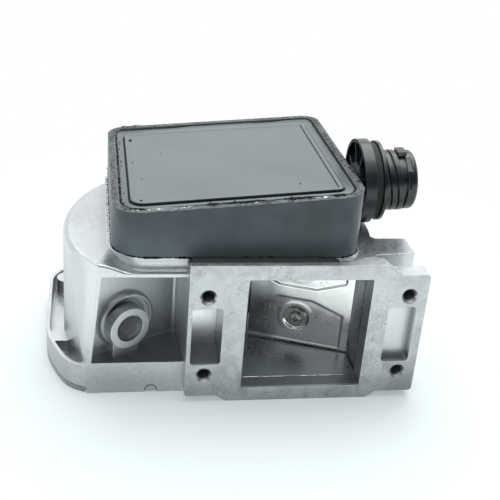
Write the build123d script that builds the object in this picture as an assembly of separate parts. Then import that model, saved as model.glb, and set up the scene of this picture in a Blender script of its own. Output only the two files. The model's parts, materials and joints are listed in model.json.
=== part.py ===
from build123d import *
import math
import os

# Flap type air-flow meter. Millimetres. Origin at the centre of the inlet bolt pattern, on the
# flange face; +X to the right seen from the inlet, +Y along the flow, +Z up.

# Levels (z)
BASE_Z = -29.3            # underside the meter stands on
COVER_T = 2.0             # rim thickness of the base cover
GASKET_T = 0.3
ROOF_Z = 27.2             # outside of the housing roof
PAD_Z = 28.1              # raised pad under the electronics case
CEILING_Z = 24.9          # inside of the duct and of the damping chamber
FLOOR_Z = -24.0           # inside floor, the top of the cover's plateau
LEDGE_Z = 23.2            # lower roof strip in front of the case
LEDGE_FALL = 38.0         # slope from the roof down to that strip, degrees
COVER_TOP = BASE_Z + COVER_T
JOINT_Z = COVER_TOP + GASKET_T

# Inlet flange
FLANGE_T = 8.0
FLANGE_X = 46.3
FLANGE_TOP = 30.4
LIP_T = 2.9               # thin top lip of the flange
HOLE_DX = 39.0
HOLE_DZ = 17.2
TAP_R = 2.5               # core radius of the M6 threads
TAP_DEPTH = 7.0
WIN_L = -24.2
WIN_B, WIN_T = -23.5, 24.4
SLOT_Z = 12.35
SLOT_DEPTH = 15.8         # blind recess left of the window
SLOT_WALL = 1.8
SLOT_L, SLOT_R = -44.7, -33.0

# Rotor
PX, PY = -23.0, 43.5      # shaft axis
REST = -21.4              # direction of the measuring flap at rest, degrees
SPREAD = 118.0            # damper flap, ahead of the measuring flap
TIP_GAP = 0.7             # between the flaps' tips and the walls they sweep
HUB_R = 8.0
SEAT_R = HUB_R + 1.0      # cylindrical seat the hub turns in
SHAFT_R = 4.0
CASING_R = 23.0           # outside of the casting round the hub
CHEEK = 200.0             # end face of the chamber beside the hub, degrees
CHEEK_R = 31.4

# Duct and damping chamber, in plan
SWEEP_R = 52.3            # right-hand wall, swept close to the flap's tip
DUCT_L = -24.7
DUCT_R = PX + SWEEP_R - 3.9
WIN_R = DUCT_R - 1.5
WALL = 2.6
CHAMBER_R = 67.0
BACK_IN = PY + CHAMBER_R
DRUM_R = CHAMBER_R + 3.0
BACK_Y = PY + DRUM_R
FLAP_R = SWEEP_R - TIP_GAP
DAMP_R = CHAMBER_R - TIP_GAP
RIGHT_X = PX + SWEEP_R + WALL

# Pocket in front of the damping chamber
FRONT_Y = 7.5             # plane of the pocket's frame
SLANT = 28.5              # direction of the slanted rear wall, degrees
SIDE_X = -FLANGE_X        # the flange's left end carries on as the pocket's right wall
SLANT_X, SLANT_Y = SIDE_X - 1.5, 31.9
FOOT_X = PX - DRUM_R + 11.92   # left foot of the slanted wall
BAND_TOP = -15.7          # front wall of the foot, up to the pocket's floor
BAND_T = 2.6

# Electronics case
CASE_X0, CASE_X1 = -74.6, 21.4
CASE_Y0, CASE_Y1 = 11.0, 108.5
CASE_WALL = 3.0
TOP_AT_0 = 52.1           # height of the sloping top at x = 0
TOP_SLOPE = 5.15          # degrees, rising to the right
SEAL_T = 0.4
CASE_BOTTOM = PAD_Z + SEAL_T
CASE_FLOOR = 2.5

# Plug socket
PLUG_Y, PLUG_Z = 48.0, 45.1
PLUG_TILT = 3.0
BARREL_R = 12.6
NECK_R = 6.5
THREADS = (15.2, 18.1, 21.0)   # places of the barrel's slanting threads
THREAD_TILT = 7.5

# Outlet spigot
OUT_X, OUT_Z = 3.0, 0.0
OUT_R, OUT_BORE = 28.0, 25.4
OUT_LEN = 21.0

# Fittings through the roof and inside the chamber
BEARING_R = 6.5
SENSOR_X, SENSOR_Y = 8.0, 20.6
SENSOR_R = 4.0
STOP_AT = 50.0            # stops' distance from the shaft
STOP_ANGLES = (90.0, 193.2)

# Inside the case
WHEEL_Z = 33.0
WHEEL_R = 27.0
SPRING_R = 20.0
BOARD_Z = 39.5
BOARD_Y = 79.0
BOARD_POSTS = [(PX - 27, BOARD_Y), (PX + 27, BOARD_Y), (PX - 14, BOARD_Y + 12),
               (PX + 14, BOARD_Y + 12)]
DETENT = (13.8, PY)
LOWER_WALL = 2.5
WIPER = 45.0              # direction of the wiper at rest, degrees
WIPER_Z = 42.0
TRACK_R = 38.0
PANEL_X0, PANEL_X1 = -67.5, 13.2
PANEL_Y0, PANEL_Y1 = 18.3, 96.2
FLAP_SCREW_S = 28.4
FLAP_SCREW_Z = 12.1

# Boss in the pocket; its middle lies along the slanted wall from the wall's left foot
BOSS_S, BOSS_Z = 11.8, -3.2
BOSS_R = 8.6
ROOT_R, ROOT_T = 12.0, 2.6
BOSS_LEN = 7.9
BOSS_HOLE_R = 5.6
BOSS_DEPTH = 9.5
BOSS_SEAT = 1.8           # open length of the hole, outside the adjusting screw


def polar(r, deg, cx=PX, cy=PY):
    a = math.radians(deg)
    return (cx + r * math.cos(a), cy + r * math.sin(a))


def on_circle_y(r, y, side):
    return (PX + side * math.sqrt(r * r - (y - PY) ** 2), y)


def on_circle_x(r, x, side):
    return (x, PY + side * math.sqrt(r * r - (x - PX) ** 2))


def angle_of(p):
    return math.degrees(math.atan2(p[1] - PY, p[0] - PX)) % 360


def arc(r, a0, a1):
    return ThreePointArc(polar(r, a0), polar(r, (a0 + a1) / 2), polar(r, a1))


def path(*items):
    # joins points and arcs in turn; a plain pair of numbers is a corner
    edges = []
    last = None
    first = None
    for it in items:
        if isinstance(it, tuple):
            start = end = it
        else:
            start = (it @ 0).X, (it @ 0).Y
            end = (it @ 1).X, (it @ 1).Y
        if last is not None and math.dist(last, start) > 1e-6:
            edges.append(Line(last, start))
        if not isinstance(it, tuple):
            edges.append(it)
        first = first or start
        last = end
    if math.dist(last, first) > 1e-6:
        edges.append(Line(last, first))
    return make_face(edges)


def slab(face, z0, z1):
    return extrude(Pos(0, 0, z0) * face, z1 - z0)


def cyl(r, x, y, z0, z1):
    return Pos(x, y, (z0 + z1) / 2) * Cylinder(r, z1 - z0)


def block(x0, x1, y0, y1, z0, z1):
    return Pos((x0 + x1) / 2, (y0 + y1) / 2, (z0 + z1) / 2) * Box(x1 - x0, y1 - y0, z1 - z0)


def along_y(r, x, z, y0, y1):
    return Pos(x, (y0 + y1) / 2, z) * Rot(90, 0, 0) * Cylinder(r, y1 - y0)


def slant_point(x, off=0.0):
    # a point of the slanted wall; off is measured into the chamber
    a = math.radians(SLANT)
    return (x, SLANT_Y + (x - SLANT_X) * math.tan(a) + off / math.cos(a))


def slant_meets(r, off):
    # where the slanted wall line meets a circle about the shaft, on the left
    lo, hi = PX - r, PX
    for _ in range(60):
        mid = (lo + hi) / 2
        if math.dist(slant_point(mid, off), (PX, PY)) > r:
            lo = mid
        else:
            hi = mid
    return slant_point(lo, off)


LUG_X = RIGHT_X + 4.3
SCREWS = [polar(DRUM_R + 9.3, 151.4), polar(DRUM_R + 4.95, 129.4), polar(DRUM_R + 4.6, 100.0),
          (LUG_X, BACK_Y - 9.5), (LUG_X, PY + 18.5), (FLANGE_X - 8.3, FLANGE_T + 15.0),
          (SIDE_X - 19.7, FRONT_Y + 7.1), (SIDE_X + 10.3, FLANGE_T + 3.6)]
# outer edge of the skirt: distance outside the drum and direction from the shaft
SKIRT_FRONT = [(0.1, 210.4), (2.5, 207.7), (4.6, 204.2), (5.6, 199.2), (6.4, 193.1), (7.0, 187.8),
               (7.2, 182.6)]
SKIRT_BACK = [(14.5, 155.9), (16.4, 151.0), (15.6, 146.5)]
SKIRT_TOP = -17.2
RIM_T = 1.4               # thickness of the skirt's wall


def body_plan():
    # outside of duct, drum and pocket
    low_left = on_circle_y(DRUM_R, FRONT_Y + 6.1, -1)
    right0 = on_circle_y(SWEEP_R + WALL, 24.0, 1)
    sweep = arc(SWEEP_R + WALL, angle_of(right0) - 360, 0)
    drum = arc(DRUM_R, 90, angle_of(low_left))
    return path((right0[0], FLANGE_T - 1), sweep, (RIGHT_X, BACK_Y), drum,
                (FOOT_X - 2.4, FRONT_Y), (SIDE_X, FRONT_Y), (SIDE_X, FLANGE_T - 1))


def right_block_plan():
    x0, x1 = DUCT_R + 1.6, FLANGE_X - 1.3
    y0 = FLANGE_T + 7.2
    y1 = y0 + 15.4
    inner = ThreePointArc((RIGHT_X + 1.7, y1), (RIGHT_X, y1 + 0.5), (RIGHT_X - 0.9, y1 + 2.0))
    return path((x0, y0), (x1, y0 + 2.2), (x1, y1 - 0.9), (x1 - 0.4, y1), inner, (x0, y1 + 2.0))


def skirt_line(inset):
    front = [polar(DRUM_R + r - inset, a) for r, a in SKIRT_FRONT]
    back = [polar(DRUM_R + r - inset, a) for r, a in SKIRT_BACK]
    return front, back


def base_plan():
    # outline of the foot: skirt on the left, screw lugs round the rest
    front, back = skirt_line(0.0)
    lug = SCREWS[1]
    face = path(Spline(front), ThreePointArc(*back), (lug[0] - 2.7, lug[1] + 4.4),
                polar(CHAMBER_R, 129), polar(CHAMBER_R, 208))
    face += body_plan()
    face += right_block_plan()
    for x, y in SCREWS[1:6]:
        face += Pos(x, y) * Circle(5.2)
    return face


def chamber_plan(gap=0.0):
    # one open space: duct, sweep of the flap, quarter drum of the damper
    r = SWEEP_R - gap
    right0 = on_circle_x(r, DUCT_R - gap, -1)
    sweep = arc(r, angle_of(right0) - 360, 0)
    seat = SEAT_R - gap
    seat0 = on_circle_x(seat, DUCT_L + gap, -1)
    corner = slant_meets(CHAMBER_R - gap, 3.0 + gap)
    drum = arc(CHAMBER_R - gap, 90, angle_of(corner))
    hub = arc(seat, CHEEK, angle_of(seat0))
    return path((DUCT_R - gap, FLANGE_T + gap), sweep, (PX + r, BACK_IN - gap), drum,
                slant_meets(CHEEK_R, 3.0 + gap), hub, (DUCT_L + gap, FLANGE_T + gap))


def side_pocket_plan(gap=0.0):
    # closed space between the duct and the pocket, behind the left recess
    r = CASING_R + gap
    a = on_circle_x(r, DUCT_L - 3.0 - gap, -1)
    b = slant_meets(r, -gap)
    left = SIDE_X + 1.6 + gap
    hub = arc(r, angle_of(a), angle_of(b))
    return path((DUCT_L - 3.0 - gap, FLANGE_T + gap), hub, slant_point(left, -gap),
                (left, FLANGE_T + gap))


def flange():
    xz = Plane.XZ
    right_bottom = (FLANGE_X, -26.5)
    pts = [(-FLANGE_X, -26.6), (-34.0, -26.6), (-29.5, BASE_Z), (27.4, BASE_Z), (31.3, -26.5),
           right_bottom, (FLANGE_X, 26.3), (34.3, 26.3), (28.5, ROOF_Z), (-FLANGE_X, ROOF_Z)]
    plate = extrude(xz * make_face(Polyline(*pts, close=True)), -FLANGE_T)
    lip_pts = [(-FLANGE_X, 20.0), (34.3, 20.0), (34.3, 26.3), (28.5, FLANGE_TOP),
               (-FLANGE_X, FLANGE_TOP)]
    plate += extrude(xz * make_face(Polyline(*lip_pts, close=True)), -LIP_T)
    ends = plate.edges().filter_by(Axis.Y).filter_by_position(Axis.X, -FLANGE_X - 1, -FLANGE_X + 1)
    plate = fillet(ends.sort_by(Axis.Z)[0], 1.3)
    wing = plate.edges().filter_by(Axis.Y).filter_by_position(Axis.X, FLANGE_X - 0.1, FLANGE_X + 0.1)
    return fillet(wing, 1.5)


def ridge():
    # smooth swelling behind the flange's right-hand shoulder
    face = path((13.0, LIP_T - 0.5), Spline([(13.0, LIP_T), (17.5, 5.2), (22.5, 7.6), (27.0, 7.0),
                                             (30.5, 5.6)]), (34.3, 4.5), (34.3, LIP_T - 0.5))
    body = slab(face, ROOF_Z - 2, FLANGE_TOP)
    slope = make_face(Polyline((28.5, FLANGE_TOP), (40.0, FLANGE_TOP), (40.0, 22.2), close=True))
    return body - extrude(Plane.XZ * slope, -20)


def window():
    cut = block(WIN_L, WIN_R, -1, FLANGE_T + 1, WIN_B, WIN_T)
    return fillet(cut.edges().filter_by(Axis.Y), 0.8)


def slots():
    left = block(SLOT_L, SLOT_R, -1, SLOT_DEPTH, -SLOT_Z, SLOT_Z)
    right = block(31.4, 42.6, -1, 4.6, -SLOT_Z, SLOT_Z)
    left = fillet(left.edges().filter_by(Axis.Y), 1.4)
    return left + fillet(right.edges().filter_by(Axis.Y), 1.4)


def flange_holes():
    cut = Part()
    for x in (-HOLE_DX, HOLE_DX):
        for z in (-HOLE_DZ, HOLE_DZ):
            cut += along_y(TAP_R, x, z, -1, TAP_DEPTH)
            cut += Pos(x, 0.35, z) * Rot(90, 0, 0) * Cone(2.55, 3.25, 0.7)
    return cut


def pocket():
    # open recess in front of the slanted wall, and the hollow under its floor
    y0 = FRONT_Y - 0.5
    far = FOOT_X - 2.9
    wide = path((far, y0), (SIDE_X, y0), (SIDE_X, FRONT_Y), (SLANT_X, SLANT_Y), slant_point(far))
    lean = make_face(Polyline((far - 6, BAND_TOP), (FOOT_X - 0.8, BAND_TOP),
                              (FOOT_X + 3.1, LEDGE_Z), (far - 6, LEDGE_Z), close=True))
    upper = slab(wide, BAND_TOP, LEDGE_Z - 1.4)
    upper = fillet(upper.edges().filter_by(Axis.Z).sort_by(Axis.Y)[-1], 1.2)
    foot = [e for e in upper.edges().filter_by_position(Axis.Z, BAND_TOP - 0.01, BAND_TOP + 0.01)
            if e.center().Y > FRONT_Y + 6]
    upper = fillet(foot, 0.7) - extrude(Plane.XZ * lean, -40)
    x0, x1 = FOOT_X + 0.6, SIDE_X - 1.9
    under = path((x0, FRONT_Y + 3.0), (x1, FRONT_Y + 3.0), slant_point(x1, -0.4),
                 slant_point(x0, -0.4))
    return upper, slab(under, BASE_Z - 1, BAND_TOP - 2.2) - cyl(4.2, *SCREWS[6], BASE_Z - 1, 0)


def ledge_cut():
    # the roof drops to a narrow strip in front of the case, along a slope on the left
    x, y = CASE_X0, CASE_Y0
    face = path((x - 20, FRONT_Y - 3.5), (SIDE_X, FRONT_Y - 3.5), (SIDE_X, y), (x + 12.6, y),
                ThreePointArc((x + 12.6, y), (x + 3.6, y + 3.7), (x - 0.6, y + 9)), (x - 20, y + 9))
    down, fall = math.radians(-20), math.radians(LEDGE_FALL)
    n = (math.sin(fall) * math.cos(down), math.sin(fall) * math.sin(down), math.cos(fall))
    slope = Plane(origin=(x - 0.6, y + 9, ROOF_Z), z_dir=n)
    return slab(face, LEDGE_Z, FLANGE_TOP + 5) & (slope * Pos(0, 0, 30) * Box(240, 240, 60))


def frame_lean():
    # the pocket's left frame bar leans inwards towards the top
    x = FOOT_X - 2.5
    face = make_face(Polyline((0, BASE_Z), (3.1, ROOF_Z - 1), (3.3, ROOF_Z + 1.8),
                              (-15.4, ROOF_Z + 1.8), (-15.4, BASE_Z), close=True))
    tool = extrude(Plane.XZ * face, 12) + extrude(Plane.XZ * face, -30)
    return Pos(x, FRONT_Y, 0) * Rot(0, 0, 34) * tool


def trough():
    # open gutter between the drum and the skirt, divided by one web
    front, back = skirt_line(RIM_T)
    lug = SCREWS[1]
    outer = path(Spline(front[1:]), ThreePointArc(*back), (lug[0] - 10.4, lug[1] - 3.8),
                 polar(CHAMBER_R, 132), polar(CHAMBER_R, 206))
    ring = outer - Pos(PX, PY) * Circle(DRUM_R)
    near = ring & Pos(PX - DRUM_R, PY - 24.3) * Rectangle(60, 16.0)
    away = ring & Pos(PX - DRUM_R, PY + 23.0) * Rectangle(60, 64.0)
    lug = cyl(4.6, *SCREWS[0], BASE_Z - 10, 0)
    return slab(near, BASE_Z + 6.6, -10) + (slab(away, FLOOR_Z, -10) - lug)


def slant_frame(s, off, z):
    # frame on the slanted wall: Z out of it, X along it, s from its left foot
    a = math.radians(SLANT)
    n = Vector(math.sin(a), -math.cos(a), 0)
    e = Vector(math.cos(a), math.sin(a), 0)
    foot = Vector(*slant_point(FOOT_X), z) + e * s + n * off
    return Plane(origin=foot, x_dir=e, z_dir=n)


def boss():
    # round boss in the pocket: wide root with a rounded rim, sunk round a plain collar, and a
    # pedestal underneath
    root = slant_frame(BOSS_S + 2.0, ROOT_T / 2 - 0.5, BOSS_Z + 0.3) * Cylinder(ROOT_R, ROOT_T + 1)
    rim = root.edges().sort_by(Axis.Y)
    body = fillet(rim[0], 1.3)
    body -= slant_frame(BOSS_S + 2.0, ROOT_T, BOSS_Z + 0.3) * Cylinder(ROOT_R - 1.7, 3.0)
    body += slant_frame(BOSS_S, BOSS_LEN / 2, BOSS_Z) * Cylinder(BOSS_R, BOSS_LEN)
    body += slant_frame(BOSS_S - 0.5, 2.3, BOSS_Z - 6.4) * Box(11.4, 12.6, 6.6)
    return body


def boss_bore(t0, t1, r):
    return slant_frame(BOSS_S, (t0 + t1) / 2, BOSS_Z) * Cylinder(r, t1 - t0)


def outlet():
    tube = along_y(OUT_R, OUT_X, OUT_Z, BACK_Y, BACK_Y + OUT_LEN)
    tube = chamfer(tube.edges().sort_by(Axis.Y)[-1], 0.8)
    bore = along_y(OUT_BORE, OUT_X, OUT_Z, BACK_IN - 1, BACK_Y + OUT_LEN + 1)
    return tube, bore


def rounded(x0, x1, y0, y1, fl, fr, rr, rl):
    # plan rectangle with its own radius at each corner
    k = 1 - math.sqrt(0.5)
    return path(ThreePointArc((x0, y0 + fl), (x0 + fl * k, y0 + fl * k), (x0 + fl, y0)),
                ThreePointArc((x1 - fr, y0), (x1 - fr * k, y0 + fr * k), (x1, y0 + fr)),
                ThreePointArc((x1, y1 - rr), (x1 - rr * k, y1 - rr * k), (x1 - rr, y1)),
                ThreePointArc((x0 + rl, y1), (x0 + rl * k, y1 - rl * k), (x0, y1 - rl)))


def case_plan(inset=0.0):
    return rounded(CASE_X0 + inset, CASE_X1 - inset, CASE_Y0 + inset, CASE_Y1 - inset,
                   13 - inset, 10 - inset, 8 - inset, 8 - inset)


def above_top(off):
    # everything above the sloping top, shifted by off along its normal
    a = math.radians(TOP_SLOPE)
    top = Plane(origin=(0, 0, TOP_AT_0), x_dir=(math.cos(a), 0, math.sin(a)),
                z_dir=(-math.sin(a), 0, math.cos(a)))
    return top * Pos(0, 0, off + 60) * Box(400, 400, 120)


def main_housing():
    plan = body_plan()
    body = slab(plan, JOINT_Z, ROOF_Z)
    tops = body.edges().filter_by_position(Axis.Z, ROOF_Z - 0.01, ROOF_Z + 0.01)
    soft = [e for e in tops if e.center().Y > 20 and e.center().X <= RIGHT_X - 6]
    body = fillet(soft, 2.6)
    body -= frame_lean()
    skirt = slab(base_plan(), JOINT_Z, SKIRT_TOP) & Pos(PX - DRUM_R - 7, 50) * Box(62, 200, 200)
    foot = slab(base_plan(), JOINT_Z, -21.5)
    body += skirt + foot
    body += block(FOOT_X - 2.42, SIDE_X, FRONT_Y, FRONT_Y + BAND_T, BASE_Z, BAND_TOP)
    body += slab(right_block_plan(), JOINT_Z, ROOF_Z)
    body += flange() + ridge()
    pad = rounded(CASE_X0 - 1.4, CASE_X1 + 0.8, CASE_Y0, CASE_Y1 + 1.3, 13.6, 10, 9, 9)
    body += slab(pad & plan, ROOF_Z - 1, PAD_Z)
    body -= ledge_cut()
    body += slab(case_plan(-0.9), LEDGE_Z - 0.5, LEDGE_Z + 0.35) & slab(plan, 0, ROOF_Z)
    upper, under = pocket()
    body -= upper
    body -= under
    body += boss()
    body -= boss_bore(BOSS_LEN - BOSS_SEAT, BOSS_LEN + 1, BOSS_HOLE_R)
    body -= boss_bore(BOSS_LEN - BOSS_DEPTH, BOSS_LEN, BOSS_HOLE_R - 0.3)
    body -= slab(chamber_plan(), BASE_Z - 1, CEILING_Z)
    side = slab(side_pocket_plan(), BASE_Z - 1, 22.0) - cyl(4.4, *SCREWS[7], BASE_Z, -21.0)
    body -= side
    body += block(SIDE_X, SLOT_R + SLOT_WALL, FLANGE_T - 1, SLOT_DEPTH + SLOT_WALL,
                  -SLOT_Z - SLOT_WALL, SLOT_Z + SLOT_WALL)
    body -= trough()
    tube, bore = outlet()
    body += tube
    body -= bore
    body -= window()
    body -= slots()
    body -= flange_holes()
    for x, y in SCREWS:
        body -= cyl(1.25, x, y, BASE_Z - 1, -22.4)
    for a in STOP_ANGLES:
        x, y = polar(STOP_AT, a)
        body += cyl(2.0, x, y, CEILING_Z - 15.0, CEILING_Z + 0.5)
    body -= cyl(BEARING_R, PX, PY, CEILING_Z - 0.1, PAD_Z + 1)
    body -= cyl(SENSOR_R, SENSOR_X, SENSOR_Y, CEILING_Z - 1, PAD_Z + 1)
    notch = Pos(-58.7, FRONT_Y, BASE_Z) * Rot(90, 0, 0) * Cylinder(2.3, 1.2)
    return body - notch


def joint_plan():
    # outline of the cover and its gasket, clear of the flange and of the foot's front wall
    x0, x1 = FOOT_X - 3.1, SIDE_X + 0.7
    plan = base_plan() - Pos(0, 0) * Rectangle(400, 2 * (FLANGE_T + 0.15))
    return plan - Pos((x0 + x1) / 2, 0) * Rectangle(x1 - x0, 2 * (FRONT_Y + BAND_T + 0.15))


def base_cover():
    # rim plate with a raised plateau that closes the duct and the chamber from below
    body = slab(joint_plan(), BASE_Z, COVER_TOP)
    body += slab(chamber_plan(0.35), COVER_TOP - 0.5, FLOOR_Z)
    body += slab(side_pocket_plan(0.35), COVER_TOP - 0.5, FLOOR_Z) - cyl(
        4.9, *SCREWS[7], BASE_Z, 0)
    body -= cyl(4.0 + LOWER_WALL, PX, PY, BASE_Z + 1.0, 0)
    for x, y in SCREWS:
        body -= cyl(1.6, x, y, BASE_Z - 1, 0)
        body -= Pos(x, y, BASE_Z + 0.85) * Cone(3.1, 1.5, 1.7)
    return body


def cover_gasket():
    plan = joint_plan() - chamber_plan() - side_pocket_plan()
    for x, y in SCREWS:
        plan -= Pos(x, y) * Circle(1.8)
    return slab(plan, COVER_TOP, JOINT_Z)


def cover_screws():
    group = []
    for x, y in SCREWS:
        one = Pos(x, y, BASE_Z + 0.85) * Cone(3.0, 1.4, 1.7)
        one += cyl(1.4, x, y, BASE_Z + 1.0, BASE_Z + 2.2)
        one += cyl(1.24, x, y, BASE_Z + 1.5, -23.4)
        one -= Pos(x, y, BASE_Z + 0.5) * Box(2.6, 0.6, 1.0)
        one -= Pos(x, y, BASE_Z + 0.5) * Box(0.6, 2.6, 1.0)
        group.append(one)
    return Compound(group)


def lower_bearing():
    ring = cyl(4.0 + LOWER_WALL - 0.02, PX, PY, BASE_Z + 1.0, FLOOR_Z)
    return ring - cyl(SHAFT_R + 0.04, PX, PY, BASE_Z + 2.0, 0)


def upper_bearing():
    ring = cyl(BEARING_R - 0.02, PX, PY, CEILING_Z - 0.05, CASE_BOTTOM + CASE_FLOOR)
    ring += cyl(BEARING_R + 2.0, PX, PY, CASE_BOTTOM + CASE_FLOOR, CASE_BOTTOM + CASE_FLOOR + 1.0)
    return ring - cyl(SHAFT_R + 0.04, PX, PY, 0, 60)


def mixture_screw():
    body = boss_bore(BOSS_LEN - BOSS_DEPTH + 0.1, BOSS_LEN - BOSS_SEAT, BOSS_HOLE_R - 0.35)
    hexagon = slant_frame(BOSS_S, BOSS_LEN - BOSS_SEAT - 3.0, BOSS_Z) * RegularPolygon(2.9, 6)
    return body - extrude(hexagon, 4)


def electronics_case():
    full = slab(case_plan(), CASE_BOTTOM, 66) - above_top(0)
    low = CASE_BOTTOM + CASE_FLOOR
    inner = slab(case_plan(CASE_WALL), low, 66)
    shelf = slab(case_plan(CASE_WALL - 0.5) - case_plan(CASE_WALL + 3.0), low, 66)
    shelf = (shelf - above_top(-2.9)) & above_top(-5.4)
    body = full - inner + shelf
    body -= cyl(BEARING_R + 0.1, PX, PY, CASE_BOTTOM - 1, low + 1)
    body -= cyl(SENSOR_R + 0.1, SENSOR_X, SENSOR_Y, CASE_BOTTOM - 1, low + 1)
    hub = cyl(11.5, PX, PY, low - 0.1, WHEEL_Z) + cyl(9.6, PX, PY, low - 0.1, WHEEL_Z + 1.1)
    body += hub - cyl(BEARING_R + 2.1, PX, PY, low - 1, WHEEL_Z + 2)
    for x, y in BOARD_POSTS:
        body += cyl(3.0, x, y, low - 0.1, BOARD_Z) - cyl(1.1, x, y, low + 1, BOARD_Z)
    x, y = DETENT
    body += cyl(3.4, x, y, low - 0.1, WHEEL_Z + 1.2) - cyl(1.1, x, y, low + 1, WHEEL_Z + 2)
    body -= block(14.0, CASE_X1 - CASE_WALL, PLUG_Y - 9.0, PLUG_Y + 9.0, low, 50.5)
    return body - plug_frame(-1) * Cylinder(NECK_R + 0.15, 9)


def plug_frame(t):
    a = math.radians(PLUG_TILT)
    n = Vector(math.cos(a), 0, math.sin(a))
    return Plane(origin=Vector(CASE_X1, PLUG_Y, PLUG_Z) + n * t, x_dir=(0, 1, 0), z_dir=n)


def disc(r, t0, t1):
    return plug_frame((t0 + t1) / 2) * Cylinder(r, t1 - t0)


def connector_shell():
    # neck through the case wall, ribbed flange, thin flange, barrel with slanting ribs
    body = disc(NECK_R, -4.0, 9.0) + disc(7.6, -5.3, -3.6)
    body -= block(0, CASE_X1 - CASE_WALL + 0.05, 30, 60, 50.3, 60)
    flange_disc = disc(17.45, 4.7, 9.2) - (disc(16.2, 4.0, 8.0) - disc(7.6, 3.9, 8.1))
    for k in range(8):
        web = plug_frame(6.7) * Rot(0, 0, 22.5 + 45 * k) * Pos(11.8, 0, 0) * Box(9.2, 1.0, 2.8)
        flange_disc += web
    body += flange_disc
    body += disc(14.2, 9.0, 12.8)
    body += disc(16.5, 12.6, 13.9)
    body += disc(BARREL_R - 1.5, 13.5, 24.6)
    room = disc(BARREL_R, 13.6, 24.0)
    for t in THREADS:
        body += plug_frame(t) * Rot(-THREAD_TILT, 0, 0) * Cylinder(BARREL_R + 0.3, 1.9) & room
    nose = disc(BARREL_R - 0.3, 23.9, 28.2)
    nose = fillet(nose.edges().sort_by(Axis.X)[-1], 1.6)
    body += nose
    body += plug_frame(23.0) * Rot(0, 0, 90) * Pos(12.2, 0, 0) * Box(1.8, 6.0, 3.6)
    body -= plug_frame(24.6) * Rot(0, 0, 128) * Pos(12.6, 0, 0) * Box(1.8, 6.4, 2.8)
    body -= plug_frame(24.9) * Rot(0, 0, 160) * Pos(12.6, 0, 0) * Box(1.8, 8.4, 0.9)
    body -= disc(9.9, 15.0, 29.0)
    body -= disc(5.4, -6.0, 16.0)
    return body


def connector_seal():
    return disc(15.7, 9.4, 12.4) - disc(14.25, 9.0, 13.0)


def connector_insert():
    body = disc(9.8, 15.05, 19.5)
    body += disc(5.3, 4.0, 15.1)
    for x, y in pin_places():
        body -= plug_frame(12) * Pos(x, y, 0) * Cylinder(0.85, 30)
    return body


def pin_places():
    ring = []
    for k in range(5):
        a = math.radians(90 + 72 * k)
        ring.append((3.6 * math.cos(a), 3.6 * math.sin(a)))
    return ring


def connector_pins():
    return Compound([plug_frame(10.4) * Pos(x, y, 0) * Cylinder(0.8, 28.8) for x, y in pin_places()])


def case_lid():
    plate = slab(case_plan(CASE_WALL + 0.8), CASE_BOTTOM, 66)
    plate = (plate - above_top(-0.3)) & above_top(-2.9)
    k = rounded(PANEL_X0, PANEL_X1, PANEL_Y0, PANEL_Y1, 5.5, 2.5, 2.5, 2.5)
    panel = (slab(k, CASE_BOTTOM, 70) - above_top(1.2)) & above_top(-0.5)
    foot = rounded(PANEL_X0 - 0.9, PANEL_X1 + 0.9, PANEL_Y0 - 0.9, PANEL_Y1 + 0.9, 6.4, 3.4, 3.4, 3.4)
    groove = slab(foot - k, CASE_BOTTOM, 70) & above_top(-1.0)
    return plate - groove + panel


def lid_sealant():
    ring = slab(case_plan(CASE_WALL + 0.02) - case_plan(CASE_WALL + 0.78), CASE_BOTTOM, 66)
    return (ring - above_top(-0.6)) & above_top(-2.88)


def case_sealant():
    plan = (case_plan(0.3) - case_plan(3.4)) & body_plan()
    plan -= Pos(SENSOR_X, SENSOR_Y) * Circle(SENSOR_R + 0.2)
    return slab(plan, PAD_Z, CASE_BOTTOM)


def track_board():
    plate = Pos(PX, BOARD_Y, BOARD_Z + 0.5) * Box(62, 30, 1.0)
    track = slab(path(arc(41.5, 40, 140), arc(34.5, 140, 40)), BOARD_Z + 0.9, BOARD_Z + 1.15)
    plate += track & Pos(PX, BOARD_Y, BOARD_Z) * Box(61, 29, 8)
    for x, y in BOARD_POSTS:
        plate -= cyl(1.3, x, y, BOARD_Z - 1, BOARD_Z + 3)
    return plate


def board_screws():
    group = []
    for x, y in BOARD_POSTS:
        one = cyl(1.09, x, y, BOARD_Z - 5, BOARD_Z + 1.1)
        one += cyl(2.3, x, y, BOARD_Z + 1.0, BOARD_Z + 2.4)
        one -= Pos(x, y, BOARD_Z + 2.2) * Box(0.6, 3.4, 0.8)
        group.append(one)
    return Compound(group)


def terminal_strips():
    # flat strips from the board to the pins, side by side without crossing
    group = []
    z0, z1 = BOARD_Z + 1.02, BOARD_Z + 1.42
    for k, (u, v) in enumerate(sorted(pin_places())):
        y = PLUG_Y + u
        yb = 71.0 + 3.0 * k
        x = 9.0 + k
        strip = block(7.4, x + 0.6, yb, yb + 0.6, z0, z1)
        strip += block(x, x + 0.6, y - 0.3, yb + 0.6, z0, z1)
        strip += block(x, 14.8, y - 0.3, y + 0.3, z0, z1)
        strip += block(14.4, 14.8, y - 0.3, y + 0.3, z0, PLUG_Z + v + 0.3)
        group.append(strip)
    return Compound(group)


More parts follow.
